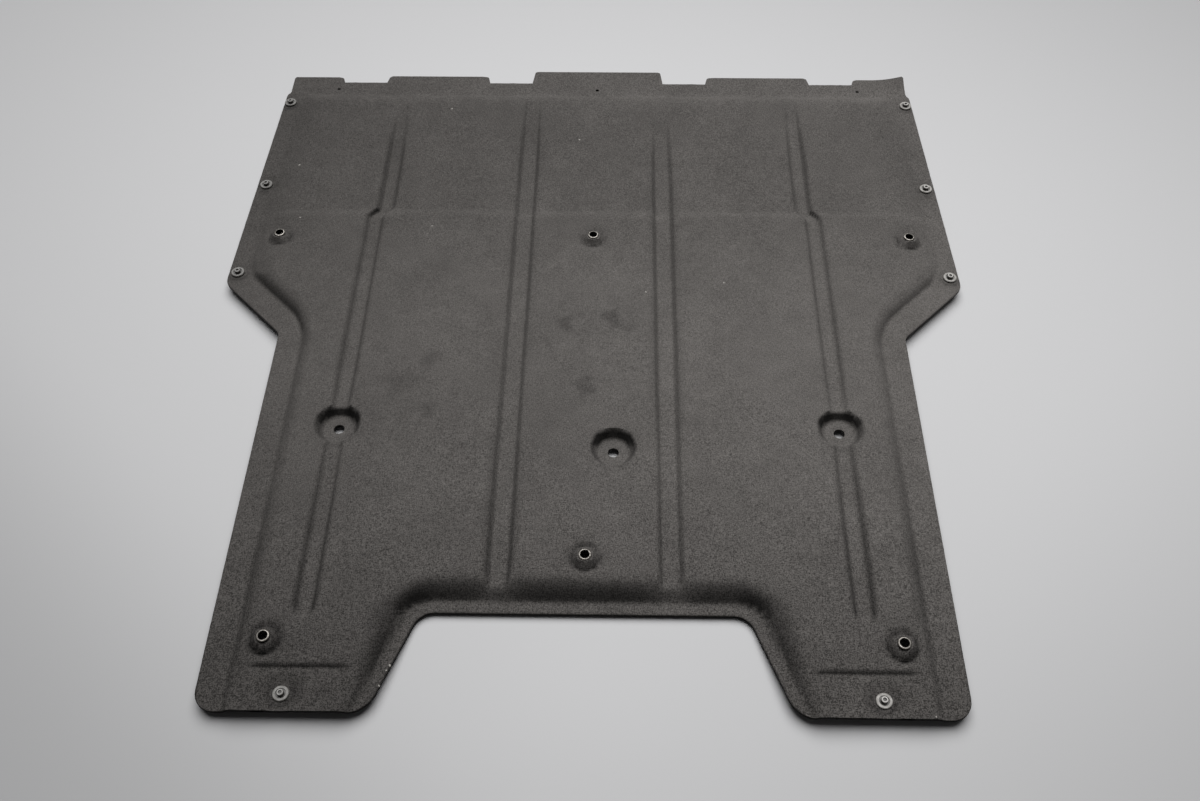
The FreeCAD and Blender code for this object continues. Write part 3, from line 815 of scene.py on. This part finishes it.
# Finishes
class Board:
    """A node tree under construction, with short calls to add and link nodes."""

    def __init__(self, tree: bpy.types.NodeTree) -> None:
        """Holds the tree."""
        self.tree = tree

    def add(self, kind: str, values: dict | None = None, **settings: object) -> bpy.types.Node:
        """Adds a node.

        Args:
            kind: The node's type name.
            values: Socket names or numbers, each with a plain value or an output socket to link.
            settings: Properties of the node.

        Returns:
            The new node.
        """
        node = self.tree.nodes.new(kind)
        for name, setting in settings.items():
            setattr(node, name, setting)
        self.fill(node, values or {})
        return node

    def fill(self, node: bpy.types.Node, values: dict) -> None:
        """Links or sets a node's inputs.

        Args:
            node: The node.
            values: Socket names or numbers, each with a plain value or an output socket to link.
        """
        for name, value in values.items():
            if isinstance(value, Socket):
                self.tree.links.new(value, node.inputs[name])
            else:
                node.inputs[name].default_value = value

    def math(self, operation: str, first: object, second: object = 0.0,
             clamp: bool = False) -> Socket:
        """Adds a math node and gives its output."""
        node = self.add("ShaderNodeMath", {0: first, 1: second}, operation=operation, use_clamp=clamp)
        return node.outputs[0]

    def times(self, *factors: object) -> Socket:
        """The product of sockets and numbers."""
        return reduce(lambda a, b: self.math("MULTIPLY", a, b), factors)

    def vector(self, operation: str, values: dict) -> bpy.types.Node:
        """Adds a vector math node."""
        return self.add("ShaderNodeVectorMath", values, operation=operation)

    def gap(self, place: Socket, x: float, y: float) -> Socket:
        """The distance from a place to a spot at height 0, in metres."""
        return self.vector("DISTANCE", {0: place, 1: (x, y, 0)}).outputs["Value"]

    def flat(self, place: Socket) -> Socket:
        """A place with its height set to 0."""
        return self.vector("MULTIPLY", {0: place, 1: (1, 1, 0)}).outputs[0]

    def split(self, place: Socket) -> bpy.types.bpy_prop_collection:
        """The X, Y and Z of a place."""
        return self.add("ShaderNodeSeparateXYZ", {0: place}).outputs

    def noise(self, place: Socket, scale: float, detail: float) -> Socket:
        """Adds a noise texture and gives its value."""
        values = {"Vector": place, "Scale": scale, "Detail": detail}
        return self.add("ShaderNodeTexNoise", values).outputs["Fac"]

    def spread(self, value: Socket, low: float, high: float, to_low: float,
               to_high: float) -> Socket:
        """Maps a value's range to another range and gives the result."""
        node = self.add("ShaderNodeMapRange", {"Value": value, "From Min": low, "From Max": high,
                                               "To Min": to_low, "To Max": to_high})
        return node.outputs[0]

    def patches(self, place: Socket, scale: float, detail: float, low: float,
                high: float) -> Socket:
        """A noise spread from low to high over the range that it mostly takes."""
        return self.spread(self.noise(place, scale, detail), 0.3, 0.7, low, high)

    def stretched(self, place: Socket, scale: Triple,
                  turn: float) -> Socket:
        """Turns a place about Z and stretches it, for fibres that run one way."""
        node = self.add("ShaderNodeMapping", {"Vector": place, "Rotation": (0, 0, turn), "Scale": scale})
        return node.outputs[0]

    def mix(self, share: object, first: object, second: object) -> Socket:
        """Mixes two colours and gives the result."""
        return self.add("ShaderNodeMix", {0: share, 6: first, 7: second}, data_type="RGBA").outputs[2]

    def mottle(self, place: Socket, scale: float, dull: Colour,
               pale: Colour) -> bpy.types.bpy_prop_collection:
        """Adds the shared mottling and gives its colour and tone."""
        values = {"Place": place, "Scale": scale, "Dull": dull, "Pale": pale}
        return self.add("ShaderNodeGroup", values, node_tree=mottle_group()).outputs

    def bump(self, height: Socket, strength: float, distance: float) -> Socket:
        """Adds a bump and gives its normal."""
        values = {"Height": height, "Strength": strength, "Distance": distance}
        return self.add("ShaderNodeBump", values).outputs[0]


def mottle_group() -> bpy.types.NodeTree:
    """The mottling that plastic and metal share: two close colours mixed by a noise.

    Returns:
        A shader node group that takes a place, a scale and two colours, and gives colour and tone.
    """
    tree = bpy.data.node_groups.get("mottle")
    if tree:
        return tree
    tree = bpy.data.node_groups.new("mottle", "ShaderNodeTree")
    for name, kind in (("Place", "NodeSocketVector"), ("Scale", "NodeSocketFloat"),
                       ("Dull", "NodeSocketColor"), ("Pale", "NodeSocketColor")):
        tree.interface.new_socket(name, in_out="INPUT", socket_type=kind)
    for name, kind in (("Colour", "NodeSocketColor"), ("Tone", "NodeSocketFloat")):
        tree.interface.new_socket(name, in_out="OUTPUT", socket_type=kind)
    board = Board(tree)
    given = board.add("NodeGroupInput").outputs
    tone = board.spread(board.noise(given["Place"], given["Scale"], 3.0), 0.35, 0.65, 0, 1)
    colour = board.mix(tone, given["Dull"], given["Pale"])
    board.add("NodeGroupOutput", {"Colour": colour, "Tone": tone})
    return tree


def new_material(name: str) -> tuple[bpy.types.Material, Board, bpy.types.Node, Socket]:
    """Starts a material.

    Args:
        name: The material's name.

    Returns:
        The material, its board, its Principled shader and the Object coordinates.
    """
    material = bpy.data.materials.new(name)
    material.use_nodes = True
    board = Board(material.node_tree)
    shader = material.node_tree.nodes["Principled BSDF"]
    place = board.add("ShaderNodeTexCoord").outputs["Object"]
    return material, board, shader, place


@dataclass(frozen=True)
class FeltFinish:
    """Dark needle felt: crossing fibres, a tone that falls towards the legs, smudges and specks of lint.

    The tone along the panel is a list of Y, shade and contrast of the fibres. Smudges are X, Y, size
    and depth, and specks are X, Y and size.
    """

    dark: Colour = (0.044, 0.041, 0.0385, 1)
    light: Colour = (0.188, 0.176, 0.167, 1)
    lint: Colour = (0.46, 0.44, 0.41, 1)
    fibre_scale: float = 350.0
    fibre_stretch: Pair = (3.2, 0.8)
    fibre_turns: Pair = (0.5, 0.2)
    fibre_share: float = 0.27
    grain_scale: float = 950.0
    grain_share: float = 0.46
    fibre_range: Pair = (0.36, 0.64)
    bump: Pair = (0.5, 0.0006)
    roughness: float = 0.92
    specular: float = 0.12
    tone_along: Rows = (
        (-451, 0.52, 2.0), (-400, 0.59, 1.85), (-340, 0.72, 1.5), (-230, 0.87, 1.1), (-60, 0.99, 0.78),
        (60, 0.99, 0.72), (200, 0.855, 0.95), (360, 0.825, 1.0), (400, 0.935, 1.0), (451, 0.89, 1.0))
    tone_across: Pair = (0.48, -0.45)
    smudge_fray: float = 6.0
    smudges: Rows = (
        (-28.6, -4.1, 12, 0.38), (23.0, 5.3, 14, 0.26), (37.4, -10.6, 9, 0.22), (-4.7, -87.7, 16, 0.26),
        (-172.0, -55.4, 17, 0.22), (-201.1, -83.2, 20, 0.18), (-165.2, -122.7, 15, 0.22))
    speck_fray: float = 0.8
    specks: Rows = (
        (-20.6, 305.4, 1.5), (-186.4, 364.3, 1.4), (-366.1, 257.3, 1.4), (-348.8, 162.2, 1.2),
        (-190.5, 148.7, 1.2), (60.8, 46.0, 1.1), (149.1, 60.8, 1.0), (-174.5, -403.9, 1.2),
        (-176.5, -409.0, 0.8), (-181.5, -424.3, 0.9), (311.0, -448.6, 0.7))

    def material(self) -> bpy.types.Material:
        """Builds the felt: fibre colour, tone over the panel with its painted shade, smudges, lint, and a
        fibre bump.
        """
        material, board, shader, place = new_material("needle_felt")
        long, short = self.fibre_stretch
        first, second = self.fibre_turns
        across = board.noise(board.stretched(place, (long, short, 1.0), first), self.fibre_scale, 3)
        along = board.noise(board.stretched(place, (short, long, 1.0), second), self.fibre_scale, 3)
        fibre = board.times(board.math("ADD", across, along), self.fibre_share)
        grain = board.times(board.noise(place, self.grain_scale, 2), self.grain_share)
        fibre = board.math("ADD", fibre, grain)
        tone, contrast = self.tone(board, place)
        deep = board.times(board.spread(fibre, *self.fibre_range, -0.5, 0.5), contrast)
        colour = board.mix(board.math("ADD", deep, 0.5, clamp=True), self.dark, self.light)
        shaded = board.vector("SCALE", {0: colour, "Scale": tone}).outputs[0]
        board.fill(shader, {
            "Base Color": board.mix(self.spots(board, place), shaded, self.lint),
            "Normal": board.bump(fibre, *self.bump),
            "Roughness": self.roughness,
            "Specular IOR Level": self.specular})
        return material

    def tone(self, board: Board,
             place: Socket) -> tuple[Socket, Socket]:
        """The felt's shade over the panel: along and across it, mottling, the painted shade stored on the
        mesh, and smudges.

        Args:
            board: The material's node tree.
            place: Object coordinates.

        Returns:
            The shade, and the contrast of the fibres.
        """
        parts = board.split(place)
        first, last = self.tone_along[0][0], self.tone_along[-1][0]
        ramp = board.add("ShaderNodeValToRGB", {0: board.spread(parts["Y"], first * MM, last * MM, 0, 1)})
        stops = ramp.color_ramp.elements
        for y, value, contrast in self.tone_along:
            spot = (y - first) / (last - first)
            stop = stops[0] if y == first else stops[-1] if y == last else stops.new(spot)
            stop.color = (value, contrast, 0, 1)
        along = board.add("ShaderNodeSeparateColor", {0: ramp.outputs["Color"]}).outputs
        tilt, bend = self.tone_across
        side = board.math("ADD", board.times(parts["X"], tilt), board.times(parts["X"], parts["X"], bend))
        broad = board.patches(place, 14, 4, 0.92, 1.08)
        patch = board.patches(place, 55, 3, 0.95, 1.05)
        # The painted shade from the mesh: walls, rims and rings darkened where shade falls, and lighter on
        # the bosses' near flanks
        turned = board.add("ShaderNodeAttribute", attribute_name="painted_shade").outputs["Fac"]
        unshaded_share = board.math("SUBTRACT", 1.0, turned)
        shade = board.times(along["Red"], board.math("ADD", side, 1.0), broad, patch, unshaded_share)
        flat = board.flat(place)
        fray = board.spread(patch, 0.95, 1.05, -self.smudge_fray * MM, self.smudge_fray * MM)
        for x, y, size, depth in self.smudges:
            ragged = board.math("ADD", board.gap(flat, x * MM, y * MM), fray)
            kept = board.spread(ragged, 0.2 * size * MM, size * MM, 1 - depth, 1)
            shade = board.times(shade, kept)
        return shade, along["Green"]

    def spots(self, board: Board, place: Socket) -> Socket:
        """The share of lint: a small ragged spot at each speck.

        Args:
            board: The material's node tree.
            place: Object coordinates.

        Returns:
            The share.
        """
        flat = board.flat(place)
        fray = board.patches(place, 900, 2, -self.speck_fray * MM, self.speck_fray * MM)
        total = board.math("ADD", 0.0, 0.0)
        for x, y, size in self.specks:
            ragged = board.math("ADD", board.gap(flat, x * MM, y * MM), fray)
            spot = board.spread(ragged, 0.3 * size * MM, size * MM, 0.85, 0)
            total = board.math("MAXIMUM", total, spot)
        return total


@dataclass(frozen=True)
class ClipFinish:
    """Grey satin plastic of the push clips, lighter to the right, with painted shade in the recess below
    the top.
    """

    dull: Colour = (0.17, 0.161, 0.148, 1)
    pale: Colour = (0.29, 0.28, 0.263, 1)
    recess_shade: Colour = (0.04, 0.036, 0.032, 1)
    mottle_scale: float = 240.0
    recess_depth: float = 0.8
    soften: float = 0.5
    recess_shade_share: float = 0.8
    side_tone: Pair = (0.62, 1.42)
    side_tone_reach: float = 0.35
    roughness: Pair = (0.38, 0.52)
    grain_scale: float = 2200.0
    bump: Pair = (0.15, 0.0002)

    def material(self, top: float) -> bpy.types.Material:
        """Builds the plastic: two close greys with a fine moulded grain, and painted shade in the recess
        below the top.

        Args:
            top: Height of the piece's top in millimetres.

        Returns:
            The material.
        """
        material, board, shader, place = new_material(Slot.CLIP.value)
        mottle = board.mottle(place, self.mottle_scale, self.dull, self.pale)
        parts = board.split(place)
        # The plastic is lighter towards +X and darker towards -X
        side_share = board.spread(parts["X"], -self.side_tone_reach, self.side_tone_reach, *self.side_tone)
        side_toned = board.vector("SCALE", {0: mottle["Colour"], "Scale": side_share}).outputs[0]
        # Painted shade in the recess: below the top the plastic darkens towards the recess shade colour
        floor = top - self.recess_depth
        share = board.spread(parts["Z"], floor * MM, (floor + self.soften) * MM, self.recess_shade_share, 0)
        board.fill(shader, {
            "Base Color": board.mix(share, side_toned, self.recess_shade),
            "Roughness": board.patches(place, 900, 2, *self.roughness),
            "Normal": board.bump(board.noise(place, self.grain_scale, 2), *self.bump)})
        return material


@dataclass(frozen=True)
class EyeletFinish:
    """Dulled pressed steel of the eyelets, with a painted highlight on the lip's top."""

    dark_steel: Colour = (0.045, 0.041, 0.036, 1)
    highlight_pale: Colour = (0.50, 0.475, 0.44, 1)
    dull: Colour = (0.14, 0.131, 0.12, 1)
    mottle_scale: float = 420.0
    lip_height: float = 0.28
    highlight_share: float = 0.3
    roughness: Pair = (0.55, 0.42)

    def material(self, top: float) -> bpy.types.Material:
        """Builds the steel: dark grey metal with handling marks, and a painted highlight on the lip.

        Args:
            top: Height of the lip's top in millimetres.

        Returns:
            The material.
        """
        material, board, shader, place = new_material(Slot.EYELET.value)
        mottle = board.mottle(place, self.mottle_scale, self.dull, self.highlight_pale)
        # Painted highlight: towards the lip's top the dark steel turns to the mottled pale colour
        foot, crest = top - self.lip_height, top - self.highlight_share * self.lip_height
        lip_highlight = board.spread(board.split(place)["Z"], foot * MM, crest * MM, 0, 1)
        board.fill(shader, {
            "Base Color": board.mix(lip_highlight, self.dark_steel, mottle["Colour"]),
            "Roughness": board.spread(mottle["Tone"], 0, 1, *self.roughness),
            "Metallic": 1.0})
        return material


@dataclass
class Hardware:
    """The push clips and eyelets, which keep their solids and get their finishes."""

    nodes: dict[str, bpy.types.Object]
    grommet: ClipFinish = ClipFinish()
    # The pins are paler, with painted shade in their dimple
    pin: ClipFinish = ClipFinish(dull=(0.27, 0.259, 0.243, 1), pale=(0.40, 0.388, 0.369, 1),
                                 recess_depth=0.45, soften=0.2, recess_shade_share=0.97)
    eyelet: EyeletFinish = EyeletFinish()

    def dress(self) -> None:
        """Gives each clip and eyelet its finish, which is set out from the top of its kind."""
        kinds = {"clip_grommet_": self.grommet, "clip_pin_": self.pin, "eyelet_": self.eyelet}
        for prefix, finish in kinds.items():
            names = [name for name in self.nodes if name.startswith(prefix)]
            material = finish.material(max(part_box(name)[1].z for name in names) / MM)
            for name in names:
                mesh = self.nodes[name].data
                mesh.materials.clear()
                mesh.materials.append(material)
                log.info("%s: %s", name, material.name)


@dataclass(frozen=True)
class Studio:
    """The pale floor with its painted light and shade, the soft light from above and a little behind, and
    the camera.
    """

    # Floor: its painted light falloff is the shares of x, y, xx, yy and xy, it has painted shade towards
    # two near corners, and painted light in spots
    floor_colour: Triple = (0.60, 0.60, 0.607)
    floor_half: float = 40.0
    floor_middle: float = 1.07
    floor_least: float = 0.55
    painted_light_fall: tuple[float, ...] = (0.10, 0.24, -0.45, -0.62, -0.16)
    painted_dark_corners: Rows = ((-0.68, -0.73, 9.0), (0.69, -0.72, 2.2))
    floor_clear: float = 0.4
    # Painted light spots, each X, Y, reach and depth; a depth below zero lightens
    painted_light_spots: Rows = ((0.0, -0.42, 0.12, -0.04),)
    painted_hole_light: Pair = (0.011, -0.45)
    floor_roughness: float = 0.6
    floor_specular: float = 0.2
    # Light
    sun_strength: float = 3.35
    sun_height: float = math.radians(62)
    sun_turn: float = math.radians(-4)
    sun_softness: float = math.radians(62)
    sky_colour: Colour = (1.0, 1.0, 1.01, 1)
    sky_strength: float = 0.04
    horizon_strength: float = 0.36
    horizon_band: Pair = (0.04, 0.14)
    # Camera
    pitch: float = math.radians(52.513)
    yaw: float = math.radians(1.2596)
    roll: float = math.radians(0.47515)
    eye: Triple = (0.0283, -0.8719, 1.0165)
    lens: float = 36.0
    sensor: float = 36.0
    nearest: float = 0.05

    def painted_floor_shade(self, board: Board, place: Socket) -> Socket:
        """The floor's painted light and shade: least + span * exp(fall / span), then painted lighter or
        darker spots.

        Args:
            board: The material's node tree.
            place: Object coordinates.

        Returns:
            The shade.
        """
        parts = board.split(place)
        x, y = parts["X"], parts["Y"]
        fall = board.math("ADD", 0.0, 0.0)
        for term, share in zip(((x,), (y,), (x, x), (y, y), (x, y)), self.painted_light_fall):
            fall = board.math("ADD", fall, board.times(*term, share))
        for across, ahead, depth in self.painted_dark_corners:
            along = board.math("ADD", board.times(x, across), board.times(y, ahead))
            past = board.math("MAXIMUM", board.math("SUBTRACT", along, self.floor_clear), 0.0)
            fall = board.math("SUBTRACT", fall, board.times(past, past, depth))
        span = self.floor_middle - self.floor_least
        fade = board.math("EXPONENT", board.math("DIVIDE", fall, span))
        shade = board.math("ADD", board.times(fade, span), self.floor_least)
        # Painted light: one spot in the cut-out, lifting the panel's shade there, and one on the floor
        # under each pocket hole
        light_under_holes = tuple((px * MM, py * MM, *self.painted_hole_light) for px, py in POCKETS)
        for sx, sy, reach, depth in self.painted_light_spots + light_under_holes:
            near = board.math("DIVIDE", board.gap(place, sx, sy), reach)
            spot = board.math("EXPONENT", board.times(near, near, -1.0))
            shade = board.times(shade, board.math("SUBTRACT", 1.0, board.times(spot, depth)))
        return shade

    def floor(self) -> None:
        """Lays the floor as one large square under the part."""
        s = self.floor_half
        mesh = bpy.data.meshes.new("floor")
        mesh.from_pydata([(-s, -s, 0), (s, -s, 0), (s, s, 0), (-s, s, 0)], [], [(0, 1, 2, 3)])
        floor = stand("floor", mesh)
        material, board, shader, place = new_material("floor_paint")
        shade = self.painted_floor_shade(board, place)
        board.fill(shader, {
            "Base Color": board.vector("SCALE", {0: self.floor_colour, "Scale": shade}).outputs[0],
            "Roughness": self.floor_roughness,
            "Specular IOR Level": self.floor_specular})
        mesh.materials.append(material)

    def light(self) -> None:
        """Sets a high soft sun a little behind the part, and a dim sky that is brighter at the horizon."""
        data = bpy.data.lights.new("back_sun", "SUN")
        data.energy = self.sun_strength
        data.angle = self.sun_softness
        sun = stand("back_sun", data)
        sun.rotation_euler = (self.sun_height - math.pi / 2, 0, self.sun_turn)
        world = bpy.data.worlds.new("even_sky")
        bpy.context.scene.world = world
        world.use_nodes = True
        board = Board(world.node_tree)
        height = board.split(board.add("ShaderNodeTexCoord").outputs["Generated"])["Z"]
        strength = board.spread(height, *self.horizon_band, self.horizon_strength, self.sky_strength)
        background = world.node_tree.nodes["Background"]
        board.fill(background, {"Color": self.sky_colour, "Strength": strength})

    def camera(self) -> None:
        """Sets the camera by pitch below the horizon, roll and yaw."""
        forward = Vector((0, math.cos(self.pitch), -math.sin(self.pitch)))
        right = Vector((1, 0, 0))
        down = forward.cross(right)
        c, s = math.cos(self.roll), math.sin(self.roll)
        right, down = c * right + s * down, -s * right + c * down
        axes = Matrix((right, -down, -forward)).transposed()
        turned = (Matrix.Rotation(self.yaw, 3, "Z") @ axes).to_4x4()
        data = bpy.data.cameras.new("camera")
        data.sensor_fit = "HORIZONTAL"
        data.sensor_width = self.sensor
        data.lens = self.lens
        data.clip_start = self.nearest
        camera = stand("camera", data)
        camera.matrix_world = Matrix.Translation(self.eye) @ turned
        bpy.context.scene.camera = camera

    def build(self) -> None:
        """Sets floor, light and camera."""
        self.floor()
        self.light()
        self.camera()


def centre_of(node: str) -> Pair:
    """The middle of a solid seen from above, in millimetres."""
    low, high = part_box(node)
    return (low.x + high.x) / 2 / MM, (low.y + high.y) / 2 / MM


def main() -> None:
    """Builds the dressed part and its studio."""
    logging.basicConfig(level=logging.INFO, format="%(name)s: %(message)s")
    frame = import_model()
    bpy.context.scene.view_settings.view_transform = "Standard"
    eyelets = {name: centre_of(name) for name in frame["nodes"] if name.startswith("eyelet_")}
    bosses = tuple((x, y, REAR_DISH if "rear" in name else 0.0) for name, (x, y) in eyelets.items())
    clips = tuple(centre_of(name) for name in frame["nodes"] if name.startswith("clip_grommet_"))
    press = Press(Outline(), bosses, POCKETS, clips)
    holes = [(*place, *EYELET_HOLE) for place in eyelets.values()]
    holes += [(*place, *POCKET_HOLE) for place in POCKETS]
    holes += [(*place, *TAB_HOLE) for place in TAB_HOLES]
    FeltPanel(press, PaintedShade(press), holes).build(FeltFinish())
    Hardware(frame["nodes"]).dress()
    Studio().build()


if __name__ == "__main__":
    main()
